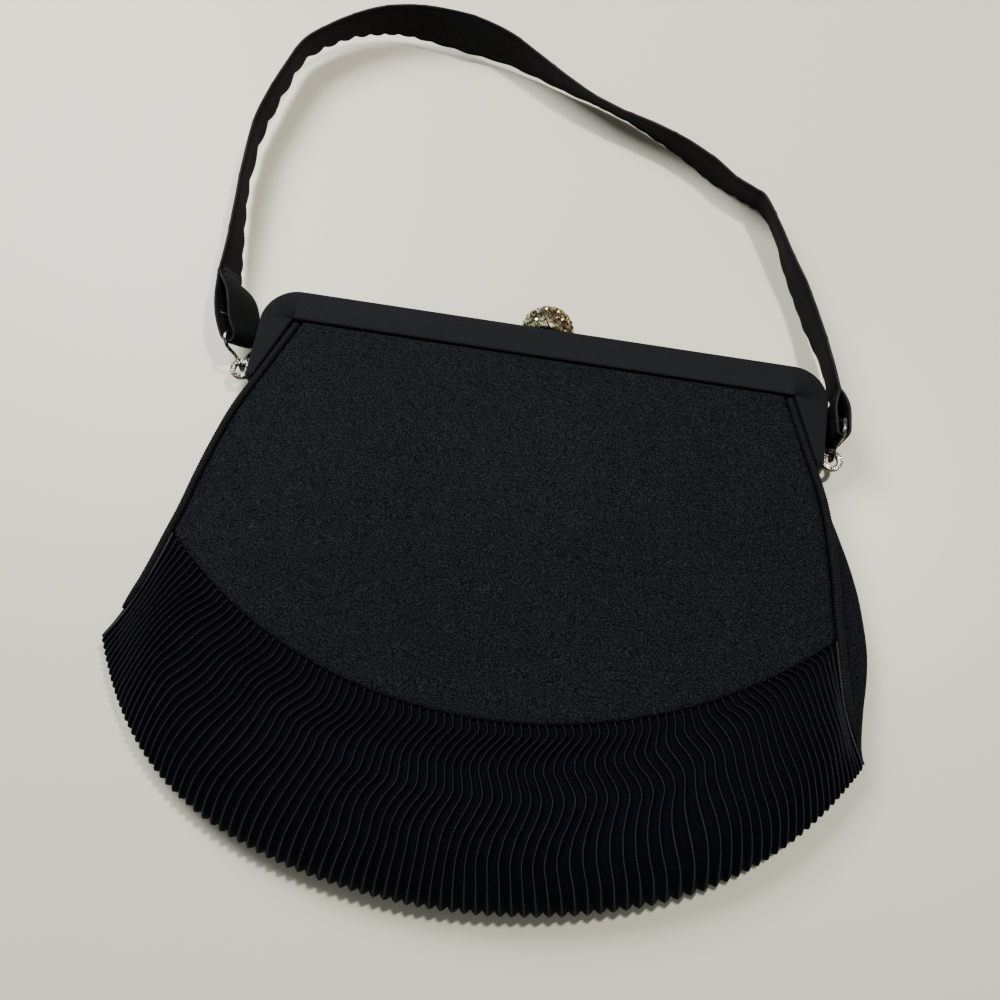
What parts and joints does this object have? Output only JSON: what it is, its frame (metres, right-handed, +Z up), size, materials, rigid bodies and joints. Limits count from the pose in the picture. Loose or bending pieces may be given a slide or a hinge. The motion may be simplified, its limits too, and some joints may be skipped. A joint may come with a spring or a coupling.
{
  "type": "evening bag",
  "caption": "Framed evening bag with a plain yoke, an accordion pleated hem, corded side seams, a stone-set dome clasp and a flat cloth strap on wire links.",
  "frame": {"origin": "on the plane that the bag lies on, under its middle, about halfway between the top of the frame and the hem", "axes": "+Z up out of the front panel of the lying bag, +Y towards the frame and the strap, +X to the right as the front is seen"},
  "size_m": [0.2317, 0.2996, 0.0226],
  "materials": {
    "faille": "diagonal ribbed silk, matt black",
    "crepe": "fine grained crepe, matt charcoal black",
    "pleated_cloth": "heat-set accordion pleats, blue black",
    "corded_cloth": "ribbed cloth over cord, matt black",
    "strap_cloth": "fine grained cloth, worn grey at the edges",
    "silver": "tarnished silver",
    "pave": "clear cut stones set in silver"
  },
  "bodies": {
    "root": {"frame_front": "faille", "frame_back": "faille", "front_yoke": "crepe", "back_yoke": "crepe", "pleated_band": "pleated_cloth", "gusset_left": "crepe", "gusset_right": "crepe", "piping_front_left": "corded_cloth", "piping_front_right": "corded_cloth", "piping_back_left": "corded_cloth", "piping_back_right": "corded_cloth", "ear_left": "silver", "ear_right": "silver", "link_left": "silver", "link_right": "silver", "clasp_left": "pave", "clasp_right": "pave", "strap": "strap_cloth"}
  },
  "joints": []
}
